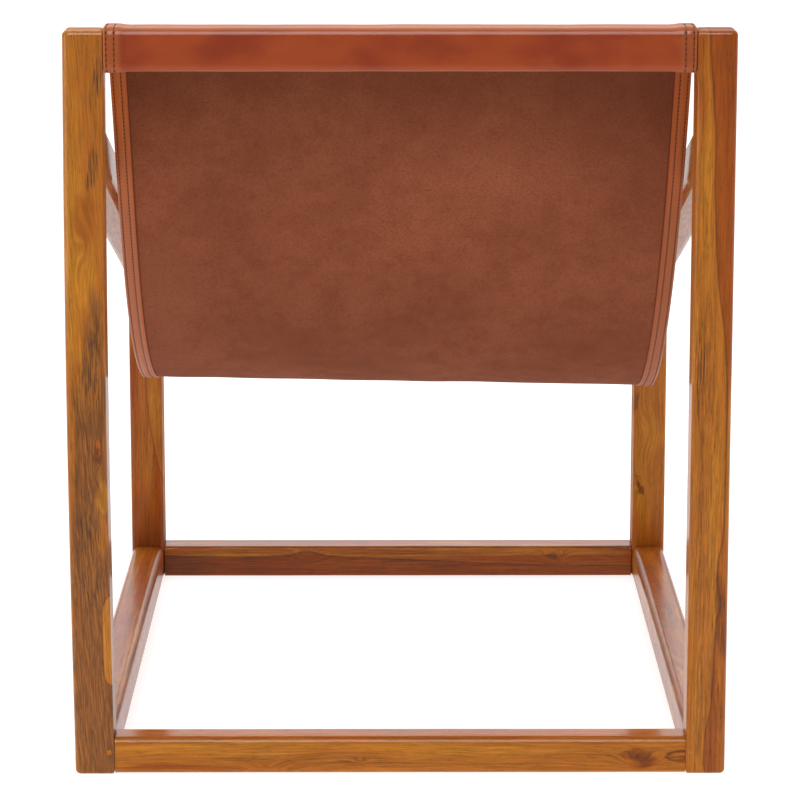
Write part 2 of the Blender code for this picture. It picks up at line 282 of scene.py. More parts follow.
def wood(name, length, seed, pith=(60, 30), spacing=9.0, red=0.4, lines=0.4, flecks=0.2,
         wander=7.0, runout=0.0, slope=0.0, gloss=1.0, shine=1.25, rim=0.4, haze=0.12,
         seams=(), inlays=(), streaks=(), patches=(), figures=(), eyes=()):
    """Lacquered teak, on a mesh whose grain attribute is the place along, across and through.

    The length is in metres, other sizes are in mm. The growth rings lie round pith, spacing
    apart, stray by wander and slope along the member by runout. slope is how much the fibres
    lean, red the share of reddish wood, lines and flecks the strength of the dark rings and
    fine flecks. gloss, shine and haze are the lacquer's weight, IOR and roughness, and rim is
    the share of it that is left seen edge on.
    seams (knots of a line, softness, side, strength, colour) tint one side of a line; inlays
    are the same for a line that slants through the member; streaks are (knots, width,
    strength); patches (along, across, half length, half width, strength, softness, colour);
    figures the same without a colour, for places full of flecks; eyes (along, across, radius,
    strength) are small knots that the rings bend round.
    """
    new_material("teak_" + name)
    grain = drawn("grain")
    along, across, through = parts_of(grain)
    shift = (seed * 3.7, seed * 1.3, seed * 2.1)

    def noise_of(vector, scale, detail, moved=shift, roughness=0.5):
        return cloud(vector, scale, detail, roughness, moved)

    slow = noise_of(grain, SWAY_SCALE, 2.0)
    swing = calc("SUBTRACT", noise_of(grain, SWING_SCALE, 3.0), 0.5)
    warp = times(calc("SUBTRACT", slow, 0.5), wander * 2 * MM)
    warp = times_plus(swing, RING_SWING * MM, warp)
    warp = times_plus(along, runout * MM, warp)
    for at, place, radius, strength in eyes:
        long, wide, bend = (radius * share * MM for share in EYE_SHAPE)
        near = times(bell(along, at * MM, long), bell(across, place * MM, wide))
        warp = times_plus(near, bend * strength, warp)
    side = calc("SUBTRACT", across, pith[0] * MM)
    depth = calc("SUBTRACT", through, pith[1] * MM)
    reach = calc("ADD", calc("SQRT", square_sum(side, depth)), warp)
    wear = noise_of(grain, WEAR_SCALE, 2.0, (seed, 4, seed))
    broad = growth_rings(reach, spacing, BROAD_RING)
    broad = times(broad, smooth(wear, 0.35, 0.7, 0.1, 1.0))
    thin = growth_rings(reach, spacing / THIN_RINGS_IN_BROAD, THIN_RING)
    thin = times(thin, smooth(wear, 0.45, 0.7, 0.0, 0.8))
    leaning = times_plus(along, float(slope), calc("ADD", across, warp))
    bent = node("CombineXYZ", {0: along, 1: leaning, 2: through}).outputs[0]

    zone = noise_of(grain, ZONE_SCALE, 3.0, (seed * 5, 2, 7))
    zone = smooth(zone, 0.66 - red * 0.5, 0.92 - red * 0.5)
    colour = mix(zone, GOLD, RED_BROWN)
    pale = noise_of(bent, PALE_SCALE, 3.0, (3, seed * 3, 9))
    colour = mix(smooth(pale, 0.5, 0.72, 0.0, 0.7), colour, LIGHT_GOLD)

    ragged = times_plus(swing, EDGE_SWING * MM, across)
    torn = times_plus(swing, END_SWING * MM, along)
    for *line, tint in seams:
        colour = mix(one_side(along, across, length, *line), colour, tint)
    for *place, tint in patches:
        colour = mix(spot(torn, ragged, *place), colour, tint)

    fleck = noise_of(bent, FLECK_SCALE, 5.0, roughness=0.62)
    strength = flecks
    for place in figures:
        strength = calc("ADD", strength, spot(torn, ragged, *place))
    glow = times(smooth(fleck, 0.44, 0.34, 0.0, 0.6), strength, clamp=True)
    colour = mix(glow, colour, GOLD)
    dark = times(smooth(fleck, 0.44, 0.58), strength, clamp=True)
    colour = mix(dark, colour, SMOKE)
    deeper = times_plus(through, INLAY_SLANT, calc("ADD", across, INLAY_SHIFT * MM))
    for *line, tint in inlays:
        colour = mix(one_side(along, deeper, length, *line), colour, tint)
    for rings, tint in ((broad, DEEP_RED), (thin, DARK_GRAIN)):
        colour = mix(times(rings, lines), colour, tint)
    for knots, width, share in streaks:
        middle = times_plus(swing, 2 * MM, line_at(along, length, knots))
        share = times(bell(across, middle, width * MM), share)
        colour = mix(share, colour, DARK_GRAIN)

    fibre = noise_of(bent, FIBRE_SCALE, 3.0)
    pores = smooth(noise_of(bent, PORE_SCALE, 2.0), 0.56, 0.68)
    pores = times(pores, times_plus(thin, 0.4, 0.35))
    tone = times_plus(pores, -0.6, smooth(fibre, 0.25, 0.75, 0.76, 1.2))
    tone = calc("MAXIMUM", tone, 0.2)
    toned = node("CombineXYZ", {0: tone, 1: tone, 2: tone}).outputs[0]
    colour = mix(1.0, colour, toned, "MULTIPLY")

    relief = times_plus(broad, 0.6, times(fibre, 0.3))
    relief = times_plus(pores, -0.8, relief)
    return plug(
        Base_Color=colour,
        Roughness=smooth(noise_of(grain, WAX_SCALE, 2.0), 0.3, 0.7, 0.46, 0.58),
        IOR=1.3, Specular_IOR_Level=0.1,
        Coat_Weight=coat_share(gloss, rim), Coat_Roughness=haze, Coat_IOR=shine,
        Normal=bump(relief, 0.00012, 0.5), Coat_Normal=bump(relief, 0.00005, 0.5),
    )


# Shapes


def clamped(value):
    return min(1.0, max(0.0, value))


def ease(value, low, high):
    share = clamped((value - low) / (high - low))
    return share * share * (3 - 2 * share)


def middle_and_half(node_name):
    """The middle of a CAD node's box and half its size."""
    low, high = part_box(node_name)
    return (low + high) / 2, (high - low) / 2


def quads(rings):
    """Each face between rings of corners: the two places on the ring, and its corners."""
    for lower, upper in zip(rings, rings[1:]):
        for i in range(len(lower)):
            j = (i + 1) % len(lower)
            yield i, j, (lower[i], lower[j], upper[j], upper[i])


def close_rings(bm, rings):
    """Faces between the rings, and one over each end."""
    for _, _, corners in quads(rings):
        bm.faces.new(corners)
    bm.faces.new(rings[0])
    bm.faces.new(reversed(rings[-1]))


def finish_mesh(name, bm, sharp_degrees=SHARP_DEGREES):
    """The mesh as an object, smooth, with face-weighted normals."""
    bmesh.ops.recalc_face_normals(bm, faces=bm.faces)
    mesh = bpy.data.meshes.new(name)
    bm.to_mesh(mesh)
    bm.free()
    mesh.shade_smooth()
    mesh.set_sharp_from_angle(angle=math.radians(sharp_degrees))
    obj = bpy.data.objects.new(name, mesh)
    SCENE.collection.objects.link(obj)
    modifier = obj.modifiers.new("normals", "WEIGHTED_NORMAL")
    modifier.keep_sharp = True
    graph = bpy.context.evaluated_depsgraph_get()
    weighted = bpy.data.meshes.new_from_object(obj.evaluated_get(graph))
    obj.modifiers.clear()
    obj.data = weighted
    bpy.data.meshes.remove(mesh)
    return obj


def dress(obj, slot, materials, *nodes):
    for material in materials:
        obj.data.materials.append(material)
    if nodes:
        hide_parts(*nodes)
    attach(obj, BODY)


# Members


def rounded_outline(half, radii):
    """A rectangle about the origin whose corners have the four radii, as (across, through)."""
    wide, deep = half
    points = []
    for radius, (sx, sy, start) in zip(radii, ((1, 1, 0), (-1, 1, 90), (-1, -1, 180), (1, -1, 270))):
        x, y = sx * (wide - radius), sy * (deep - radius)
        for step in range(ARC_STEPS + 1):
            angle = math.radians(start + 90 * step / ARC_STEPS)
            points.append((x + radius * math.cos(angle), y + radius * math.sin(angle)))
    return points


def stations(low, high, end_rounds=(0, 0)):
    """Where a member is cut along its length, and how much each cut shrinks it.

    end_rounds are the radii that the lower and the upper end edges are rounded with.
    """
    count = max(2, round((high - low) / SLICE))
    cuts = {low + (high - low) * step / count: 0.0 for step in range(count + 1)}
    for end, inward, radius in ((low, 1, end_rounds[0]), (high, -1, end_rounds[1])):
        if not radius:
            continue
        for at in [at for at in cuts if abs(at - end) < radius * 1.2]:
            del cuts[at]
        for step in range(ARC_STEPS + 1):
            angle = math.pi / 2 * step / ARC_STEPS
            cuts[end + inward * radius * (1 - math.cos(angle))] = radius * (1 - math.sin(angle))
    return sorted(cuts.items())


def make_member(node_name, finish, axes, cuts, radii, seed, half=None, centre_at=None,
                slant_at=None, bow_at=None, slot="teak"):
    """A member built from rounded cross sections, in the place of its CAD node.

    axes are the world axes that run along, across and through it. radii are those of the four
    corners, or give them at a place along it. centre_at gives the middle of the section there,
    slant_at how much the section leans and bow_at how far it is bent aside. Without half and
    centre_at the section is the node's own.
    """
    bm = bmesh.new()
    layer = bm.verts.layers.float_vector.new("grain")
    along_axis, across_axis, through_axis = axes
    own_middle, own_half = ([size[axis] for axis in axes[1:]] for size in middle_and_half(node_name))
    half = half or own_half
    rings = []
    for at, shrink in cuts:
        rounds = radii(at) if callable(radii) else radii
        corners = [max(FINEST_ROUND, radius - shrink) for radius in rounds]
        middle = centre_at(at) if centre_at else own_middle
        lean = slant_at(at) if slant_at else 0.0
        bow = bow_at(at) if bow_at else 0.0
        ring = []
        for across, through in rounded_outline((half[0] - shrink, half[1] - shrink), corners):
            place = Vector((0, 0, 0))
            place[along_axis] = at + lean * through
            place[across_axis] = middle[0] + across
            place[through_axis] = middle[1] + through
            wobble = noise.noise(place * HAND_WORK_SCALE + Vector((seed, 0, 0))) * HAND_WORK
            away_by = Vector((across, through)).normalized() * wobble
            place[across_axis] += away_by.x + bow
            place[through_axis] += away_by.y
            vert = bm.verts.new(place)
            vert[layer] = Vector((at - cuts[0][0], across, through))
            ring.append(vert)
        rings.append(ring)
    close_rings(bm, rings)
    dress(finish_mesh(node_name + "_wood", bm), slot, [finish], node_name)


def make_rear_post(word, side, finish):
    node_name = word + "_rear_post"
    low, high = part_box(node_name)
    rail_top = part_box("rear_bottom_rail")[1].z
    bar_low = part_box("top_sling_bar")[0].z

    def radii(at):
        """The edges towards the cross rails stay crisp where a rail meets them."""
        free = clamped((at - rail_top) / EDGE_FADE) * clamped((bar_low - at) / EDGE_FADE)
        inner = CRISP_EDGE + (POST_EDGE - CRISP_EDGE) * free
        if side > 0:
            return (POST_WORN_EDGE, inner, inner, POST_EDGE)
        return (inner, POST_WORN_EDGE, POST_EDGE, inner)

    def bow(at):
        return LEFT_POST_BOW * math.sin(math.pi * (at - low.z) / (high.z - low.z))

    cuts = stations(low.z, high.z, REAR_POST_ENDS)
    cuts += [(rail_top + step, 0.0) for step in POST_CUTS]
    cuts += [(bar_low - step, 0.0) for step in POST_CUTS]
    make_member(
        node_name, finish, (2, 0, 1), sorted(cuts), radii, side,
        bow_at=bow if side > 0 else None, slot="teak_dark",
    )


def make_front_post(word, side, finish):
    """As thick as the rear post, cut off along the arm rail that lies on it."""
    centre, half = middle_and_half(word + "_rear_post")
    top = arm_place(-centre.y) - ARM_TALL / 2 - JOINT_GAP
    cuts = stations(0.0, top, (POST_FOOT, 0))
    cuts += [(top - step, 0.0) for step in TOP_CUTS]
    make_member(
        word + "_front_post", finish, (2, 0, 1), sorted(dict(cuts).items()),
        (FRONT_POST_EDGE,) * 4, 5 * side, (half.x, half.y), lambda at: (centre.x, -centre.y),
        slant_at=lambda at: ARM_RISE * clamped((at - top + EDGE_FADE) / EDGE_FADE),
    )


def make_cross_rail(node_name, edge, finish):
    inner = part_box("left_rear_post")[0].x - JOINT_GAP
    cuts = stations(-inner, inner)
    make_member(node_name, finish, (0, 2, 1), cuts, (edge,) * 4, len(node_name))


def make_side_rail(word, side, finish):
    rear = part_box(word + "_rear_post")[0].y - JOINT_GAP
    upper = SIDE_RAIL_EDGES[:2] if side > 0 else SIDE_RAIL_EDGES[1::-1]
    make_member(
        word + "_bottom_rail", finish, (1, 0, 2), stations(-rear, rear),
        upper + SIDE_RAIL_EDGES[2:], 9 + side,
    )


ARM_TALL = 0.046
ARM_FRONT_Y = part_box("left_front_post")[0].y
ARM_RISE = 0.3112
ARM_FRONT_TOP = 0.403
ARM_EDGE = 0.0085
ARM_END = 0.004
REAR_POST_ENDS = (0.004, 0.0055)
POST_EDGE = 0.0045
POST_WORN_EDGE = 0.0065
POST_FOOT = 0.004
FRONT_POST_EDGE = 0.0042
LEFT_POST_BOW = 0.0026
SIDE_RAIL_EDGES = (0.0075, 0.0085, 0.0045, 0.0045)
REAR_RAIL_EDGE = 0.0072
FRONT_RAIL_EDGE = 0.0042
POST_CUTS = (0.001, 0.006, 0.011, 0.016)
TOP_CUTS = (0.005, 0.01, 0.015, 0.02)


def arm_place(y):
    """The height of the middle of an arm rail."""
    return ARM_FRONT_TOP + ARM_RISE * (y - ARM_FRONT_Y) - ARM_TALL / 2


def make_arm(word, side, finish):
    node_name = word + "_arm_rail"
    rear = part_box(word + "_rear_post")[0].y - JOINT_GAP
    centre, half = middle_and_half(node_name)
    make_member(
        node_name, finish, (1, 0, 2), stations(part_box(node_name)[0].y, rear, (ARM_END, 0)),
        (ARM_EDGE,) * 4, 13 * side, (half.x, ARM_TALL / 2),
        lambda at: (centre.x, arm_place(at)),
    )


def make_frame():
    """Each member is cut from its own piece of wood, with the figure that the picture shows."""
    sapwood_edge = (
        (0, -24), (88, -24), (94, -18), (101, -13.2), (112, -11.8), (170, -12.2), (180, -14.5),
        (186, -18), (192, -24), (755, -24),
    )
    make_rear_post("left", 1, wood(
        "left_rear_post", 0.755, 11, pith=(-75, 40), spacing=13.0, red=0.2, lines=0.15,
        flecks=0.12, wander=8.0, slope=-0.05,
        inlays=((sapwood_edge, 0.5, -1, 0.9, SAPWOOD),),
        streaks=((sapwood_edge, 0.7, 0.45),),
        patches=(
            (590, 14, 170, 10, 0.85, 0.8, LIGHT_GOLD), (705, 2, 75, 30, 0.65, 0.6, GOLD),
            (513, 6, 28, 17, 0.7, 0.7, LIGHT_GOLD), (568, -1, 20, 13, 0.45, 0.6, RED_BROWN),
            (614, -9, 20, 7, 0.5, 0.8, BROWN), (150, -4, 265, 24, 0.9, 0.25, BROWN),
            (440, -9, 60, 10, 0.75, 0.6, BROWN), (290, 18, 170, 6, 0.6, 0.7, GOLD),
            (407, 4, 42, 1.8, 0.7, 0.6, LIGHT_GOLD), (392, -10, 18, 4, 0.6, 0.7, GOLD),
            (375, -17, 50, 4, 0.6, 0.6, SMOKE), (276, 11, 62, 7, 0.4, 0.8, SMOKE),
            (291, -14, 16, 6, 0.85, 0.5, LIGHT_GOLD), (250, -14, 21, 6, 0.75, 0.6, GOLD),
            (327, -13, 9, 4.5, 0.8, 0.5, DEEP_RED), (329, -14, 5, 2.2, 1.0, 0.4, KNOT_ORANGE),
        ),
        figures=(
            (614, -9, 24, 7, 1.0, 0.6), (724, -15, 28, 5, 0.55, 0.6), (680, -13, 50, 6, 0.3, 0.7),
            (465, -13, 28, 8, 0.6, 0.6), (425, -8, 40, 9, 0.6, 0.7), (330, 0, 95, 17, 0.6, 0.5),
            (220, 2, 45, 21, 0.65, 0.5), (90, 0, 110, 30, 0.55, 0.6),
        ),
        eyes=((327, -12, 4, 0.9), (291, -9, 6, 0.35), (545, -2, 9, 0.6)),
    ))
    right_line = (
        (0, -2), (23, 1.5), (73, -4.8), (98, -6), (162, -8.6), (175, -12.3), (208, -8.6),
        (248, -13.6), (300, -14.9), (390, -14.9), (426, -13.6), (520, -3.8), (593, 0), (658, 1.1),
        (741, 7.2), (755, 8),
    )
    make_rear_post("right", -1, wood(
        "right_rear_post", 0.755, 23, pith=(90, 20), spacing=12.0, red=0.22, lines=0.2,
        flecks=0.1,
        seams=((right_line, 1.6, -1, 0.85, RED_BROWN),),
        streaks=((right_line, 0.9, 0.6),
                 (((0, 11), (200, 13), (400, 8), (600, 12), (755, 14)), 0.6, 0.22)),
        patches=(
            (730, 0, 65, 40, 0.55, 0.6, RED_BROWN), (600, 10, 120, 5, 0.5, 0.7, LIGHT_GOLD),
            (320, -20, 90, 5, 0.6, 0.6, LIGHT_GOLD), (120, -17, 190, 9, 0.55, 0.8, GOLD),
            (165, -12, 36, 5, 0.55, 0.6, DEEP_RED),
        ),
        figures=(
            (430, 12, 55, 6, 0.5, 0.7), (290, 6, 170, 13, 0.35, 0.6), (165, -11, 40, 5, 0.5, 0.6),
            (60, -2, 70, 18, 0.3, 0.7),
        ),
    ))
    wedge = ((0, -22), (110, -21), (149, -12.5), (195, -4.1), (248, 0.6), (355, 3))
    make_front_post("left", 1, wood(
        "left_front_post", 0.355, 31, pith=(45, 70), red=0.62, lines=0.25, flecks=0.12,
        seams=((wedge, 1.2, -1, 0.75, GOLD),),
        streaks=((wedge, 0.8, 0.4),),
        rim=0.0,
        patches=(
            (15, 0, 95, 60, 0.75, 0.7, RED_BROWN), (0, 0, 70, 60, 0.6, 0.9, DEEP_RED),
            (235, -10, 50, 8, 0.7, 0.6, LIGHT_GOLD),
        ),
    ))
    make_front_post("right", -1, wood(
        "right_front_post", 0.355, 47, pith=(-50, 60), red=0.33, lines=0.25, flecks=0.12,
        rim=0.0,
        patches=(
            (10, 0, 60, 60, 0.5, 0.7, RED_BROWN), (185, -2, 26, 10, 0.5, 0.7, LIGHT_GOLD),
            (214, 16, 17, 4, 0.6, 0.6, DEEP_RED), (118, 11, 7, 3.5, 0.8, 0.5, DEEP_RED),
        ),
        eyes=((118, 11, 5, 1.2), (185, 0, 9, 0.6)),
    ))
    make_cross_rail("rear_bottom_rail", REAR_RAIL_EDGE, wood(
        "rear_rail", 0.58, 5, pith=(-48, 60), spacing=8.0, red=0.25, lines=0.3, flecks=0.15,
        wander=9.0, gloss=0.8, rim=0.3,
        patches=(
            (46, -4, 17, 10, 0.75, 0.6, RED_BROWN), (45, -6, 8, 6, 0.6, 0.7, DEEP_RED),
            (2, -1, 15, 6.5, 0.85, 0.3, DEEP_RED), (1, -1.5, 11.5, 4.2, 0.75, 0.4, GOLD),
            (300, 19, 320, 3.5, 0.65, 0.5, KNOT_ORANGE), (520, -13, 62, 4, 0.65, 0.7, RED_BROWN),
            (250, 6, 90, 7, 0.4, 0.8, LIGHT_GOLD),
        ),
        figures=((326, -6, 24, 4, 0.45, 0.7), (46, -2, 16, 9, 0.5, 0.6)),
        eyes=((46, -4, 7, 1.0), (330, -5, 3, 1.0), (425, -16, 10, 0.6)),
    ))
    front_line = ((0, -6), (170, -3), (290, 3), (377, 7), (403, 12), (430, 7), (580, 7))
    make_cross_rail("front_bottom_rail", FRONT_RAIL_EDGE, wood(
        "front_rail", 0.58, 71, pith=(75, 45), spacing=7.0, red=0.7, flecks=0.3,
        patches=(
            (130, 13, 140, 5, 0.5, 0.6, LIGHT_GOLD), (430, 14, 150, 4, 0.25, 0.7, GOLD),
            (96, 6, 7, 4, 0.8, 0.6, DEEP_RED), (580, -6, 75, 16, 0.5, 0.8, DARK_GRAIN),
        ),
        seams=((front_line, 2.0, -1, 0.85, WINE),),
        streaks=((front_line, 0.9, 0.65),),
        eyes=((403, 6, 7, 1.5), (96, 6, 6, 1.4)),
    ))
    make_cross_rail("top_sling_bar", BAR_EDGE, wood("top_bar", 0.58, 83, red=0.5))
    make_cross_rail("front_sling_bar", BAR_EDGE, wood("front_bar", 0.58, 91, red=0.5))
    make_side_rail("left", 1, wood(
        "left_rail", 0.773, 13, pith=(60, 90), red=0.75, lines=0.25, flecks=0.15,
        shine=1.34, rim=0.8, haze=0.24,
    ))
    make_side_rail("right", -1, wood(
        "right_rail", 0.773, 29, pith=(-6, 48), spacing=7.0, red=0.7,
        wander=12.0, runout=26.0, shine=1.34, rim=0.8, haze=0.24,
        figures=((325, 0, 90, 12, 0.5, 0.7),), eyes=((275, 4, 8, 0.9),),
    ))
    make_arm("left", 1, wood(
        "left_arm", 0.813, 37, pith=(30, -80), red=0.3, lines=0.5, flecks=0.4, gloss=0.5,
        rim=1.0, patches=((400, 0, 500, 80, 0.6, 0.5, BROWN),),
    ))
    make_arm("right", -1, wood(
        "right_arm", 0.813, 53, pith=(-35, -70), red=0.2, lines=0.6, flecks=0.4, wander=12.0,
        gloss=0.48, rim=1.0, patches=((400, 0, 500, 80, 0.6, 0.5, BROWN),),
    ))


# Pins

PIN_SIDES = 28
PIN_LIGHT = (0.5, 0.19, 0.03)
PIN_DARK = (0.4, 0.13, 0.018)
# Share of the radius, which end, how far past it
PIN_PROFILE = (
    (0.9, -1, 0.0), (1.0, -1, 0.0004), (1.0, 1, -0.0003), (0.96, 1, -0.0001), (0.88, 1, 0.00006),
    (0.5, 1, 0.00015),
)


def pin_finish():
    new_material("pin_end_grain")
    place = object_place()
    speck = cloud(place, 2600)
    tone = cloud(place, 320)
    colour = mix(smooth(tone, 0.3, 0.7), PIN_LIGHT, PIN_DARK)
    colour = mix(smooth(speck, 0.55, 0.75, 0, 0.5), colour, RED_BROWN)
    return plug(
        Base_Color=colour, Roughness=smooth(tone, 0.3, 0.7, 0.36, 0.48),
        IOR=1.3, Specular_IOR_Level=0.1, Coat_Weight=0.5, Coat_Roughness=0.15, Coat_IOR=1.25,
        Normal=bump(speck, 0.0001, 0.4),
    )


def make_pin(node_name, finish):
    """A round pin with a slightly domed end, in the place of the plain one."""
    centre, half = middle_and_half(node_name)
    axis = max(range(3), key=lambda i: half[i])
    posts = [word + "_" + end + "_post" for word in ("left", "right") for end in ("rear", "front")]
    nearest = min(
        (middle_and_half(post)[0] for post in posts),
        key=lambda point: (point - centre).xy.length,
    )
    outward = 1 if centre[axis] > nearest[axis] else -1
    bm = bmesh.new()
    rings = []
    first, second = [i for i in range(3) if i != axis]
    for share, end, past in PIN_PROFILE:
        radius = min(half) * share
        ring = []
        for step in range(PIN_SIDES):
            angle = 2 * math.pi * step / PIN_SIDES
            place = centre.copy()
            place[axis] += outward * (end * half[axis] + past)
            place[first] += radius * math.cos(angle)
            place[second] += radius * math.sin(angle)
            ring.append(bm.verts.new(place))
        rings.append(ring)
    close_rings(bm, rings)
    dress(finish_mesh(node_name + "_turned", bm), "pin_wood", [finish], node_name)


def make_pins():
    finish = pin_finish()
    for name in sorted(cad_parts):
        if name.endswith("_pin"):
            make_pin(name, finish)


# Leather sling, on the part's route with more points. A run is a distance along the hide.

BAR_SIDE = 0.038
BAR_EDGE = 0.006
FIT = 0.0003
LEATHER = 0.0026
HEM_STEP = 0.0012
HEM_WIDTH = 0.0162
LOOP_TAIL = 0.014
LOOP_DRIFT = 0.012
LOOP_BEND = 0.022
REAR_Y = 0.4065
CHAIR_HEIGHT = 0.755
FRONT_BAR_TOP = 0.355
LEFT_LOW = 0.3035
RIGHT_LOW = 0.2945
CORNER_STEPS = 9
DRIFT_STEPS = 6
FLAT_STEPS = 4
BEND_STEPS = 8
SAG_STEPS = 150
FIRST_BEND = math.radians(30)
BEND_ROUNDS = 40
CATENARY_ROUNDS = 60
SLING_WIDTH = 0.578
HEM_FADE = (0.013, 0.024)
SINK = 0.0012
TIGHTENS_OVER = 0.02
ROLL_END = 0.03
TO_FRONT = (0.75, 1.0)
RIPPLE = 0.0009
LOOP_RIPPLE = 0.0003

# The left and the right edge: how far from the middle they lie on the roll, how much further
# below it, down the back and in front, and where down the back
HIDE_EDGES = (
    (0.2896, -0.002, 0.0034, -0.0022, (0.05, 0.5)),
    (0.2893, -0.0004, -0.0009, 0.0008, (0.1, 0.6)),
)


def straight(first, last):
    """The points between the ends of a flat stretch."""
    return [first.lerp(last, step / FLAT_STEPS) for step in range(1, FLAT_STEPS)]


def loop_points(centre, leave, lift):
    """The flesh side of the leather round one bar, as (y, z), from its tail to the sling."""
    flat = BAR_SIDE / 2 - BAR_EDGE
    inner = FIT + HEM_STEP
    outer = inner + LEATHER + FIT + HEM_STEP
    points = [centre + leave * (flat - LOOP_TAIL) + lift * (BAR_SIDE / 2 + inner)]
    start = lift
    for turn in (leave, -lift, -leave, lift):
        corner = centre + (start + turn) * flat
        points += straight(points[-1], corner + start * (BAR_EDGE + inner))
        for step in range(CORNER_STEPS + 1):
            angle = math.pi / 2 * step / CORNER_STEPS
            normal = start * math.cos(angle) + turn * math.sin(angle)
            points.append(corner + normal * (BAR_EDGE + inner))
        start = turn
    for step in range(1, DRIFT_STEPS + 1):
        share = step / DRIFT_STEPS
        offset = BAR_SIDE / 2 + inner + (outer - inner) * ease(share, 0.0, 1.0)
        points.append(centre + leave * (LOOP_DRIFT * share - flat) + lift * offset)
    last = centre + leave * flat + lift * (BAR_SIDE / 2 + outer)
    return points + straight(points[-1], last) + [last]


def hanging_curve(rear, front, low):
    """The catenary through both points that hangs down to the height low."""
    span = rear.x - front.x
    drop = front.y - rear.y

    def lowest(scale):
        tilt = math.asinh(drop / (2 * scale * math.sinh(span / (2 * scale))))
        distance = span / 2 - scale * tilt
        return distance, rear.y - scale * (math.cosh(distance / scale) - 1)

    small, large = span / 8, span * 8
    for _ in range(CATENARY_ROUNDS):
        scale = (small + large) / 2
        distance, height = lowest(scale)
        if distance < span and height < low:
            small = scale
        else:
            large = scale
    return scale, distance, height


def sling_route(low):
    """The leather's flesh side from the top tail to the front tail, and where the loops end."""
    down, up = Vector((0, -1)), Vector((0, 1))
    forward, back = Vector((-1, 0)), Vector((1, 0))
    outer = 2 * (FIT + HEM_STEP) + LEATHER
    top_loop = loop_points(Vector((REAR_Y, CHAIR_HEIGHT - BAR_SIDE / 2)), down, forward)
    front_centre = Vector((-REAR_Y, FRONT_BAR_TOP - BAR_SIDE / 2))
    front_loop = loop_points(front_centre, back, up)
    front_corner = front_centre + (back + up) * (BAR_SIDE / 2 - BAR_EDGE)

    def top_bend(angle):
        return top_loop[-1] + (down * math.sin(angle) + forward * (1 - math.cos(angle))) * LOOP_BEND

    def front_bend(angle):
        normal = up * math.cos(angle) + back * math.sin(angle)
        return front_corner + normal * (BAR_EDGE + outer)

    top_angle = front_angle = FIRST_BEND
    for _ in range(BEND_ROUNDS):
        rear, front = top_bend(top_angle), front_bend(front_angle)
        scale, distance, height = hanging_curve(rear, front, low)
        first = -distance / scale
        last = (rear.x - front.x - distance) / scale
        top_angle = math.pi / 2 + math.atan(math.sinh(first))
        front_angle = math.atan(math.sinh(last))

    points = top_loop + [top_bend(top_angle * step / BEND_STEPS) for step in range(1, BEND_STEPS)]
    for step in range(SAG_STEPS + 1):
        run = math.sinh(first) + (math.sinh(last) - math.sinh(first)) * step / SAG_STEPS
        place = math.asinh(run)
        points.append(Vector((
            rear.x - distance - scale * place, height + scale * (math.cosh(place) - 1)
        )))
    points += [front_bend(front_angle * (1 - step / BEND_STEPS)) for step in range(1, BEND_STEPS)]
    points += reversed(front_loop)
    return points, len(top_loop), len(points) - len(front_loop)


def along_route(points):
    """The distance from the start at each point, and the unit normals to the grain side."""
    reached = [0.0]
    for first, second in zip(points, points[1:]):
        reached.append(reached[-1] + (second - first).length)
    normals = []
    for i in range(len(points)):
        run = points[min(i + 1, len(points) - 1)] - points[max(i - 1, 0)]
        normals.append(Vector((run.y, -run.x)).normalized())
    return reached, normals


class Sling:
    """Gives any point of the hide from its place along and across it."""

    def __init__(self):
        (left, top_end, front_start), (right, _, _) = map(sling_route, (LEFT_LOW, RIGHT_LOW))
        self.routes = left, right
        (left_run, left_normals), (right_run, right_normals) = map(along_route, self.routes)
        self.normals = left_normals, right_normals
        self.run = [(a + b) / 2 for a, b in zip(left_run, right_run)]
        self.length = self.run[-1]
        self.top_run = self.run[top_end]
        self.front_run = self.run[front_start]

    def edges(self, run):
        """How far the left and the right edge lie from the middle at a place along it."""
        hang = (run - self.top_run) / (self.front_run - self.top_run)
        below = ease(run, self.top_run - ROLL_END, self.top_run)
        return [
            start + off_roll * below + back * ease(hang, *reach) + front * ease(hang, *TO_FRONT)
            for start, off_roll, back, front, reach in HIDE_EDGES
        ]

    def base(self, station, share):
        """The flesh side and the normal at a station, share of the way from left to right."""
        place, normal = (
            left[station].lerp(right[station], share) for left, right in (self.routes, self.normals)
        )
        return place, normal.normalized()

    def looped(self, run):
        """1 round the bars and 0 where the hide hangs free."""
        over = TIGHTENS_OVER
        return 1 - ease(run, self.top_run - over, self.top_run + over) * (
            1 - ease(run, self.front_run - over, self.front_run + over)
        )

    def point(self, station, x, offset, near_edge):
        """A point of the hide. near_edge is its distance from the nearer long edge."""
        run = self.run[station]
        place, normal = self.base(station, clamped(0.5 - x / SLING_WIDTH))
        inside = ease(near_edge, *HEM_FADE)
        looped = self.looped(run)
        ripple = noise.noise(Vector((x * 16, run * 7, 3.1))) * RIPPLE * (1 - looped)
        ripple += noise.noise(Vector((x * 22, run * 11, 8.7))) * LOOP_RIPPLE * looped * inside
        shift = normal * (offset - SINK * inside * looped + ripple * inside)
        return Vector((x, place.x + shift.x, place.y + shift.y))


# Hem and stitches
GROOVE = 0.00035
GROOVE_HALF = 0.0006
PUFF = 0.00015
PUFF_MARGIN = 0.0015
STITCH_LINES = (0.003, 0.0108)
AROUND_STITCH = (-0.001, -0.0005, 0.0005, 0.001)
BETWEEN_STITCHES = (0.0055, 0.008, 0.0135, 0.0155, 0.018, 0.021)
FIELD_EDGE = 0.025
FIELD_STEPS = 44
FOLD_STEPS = 8
FLESH, GRAIN, TURNED = 0, 1, 2


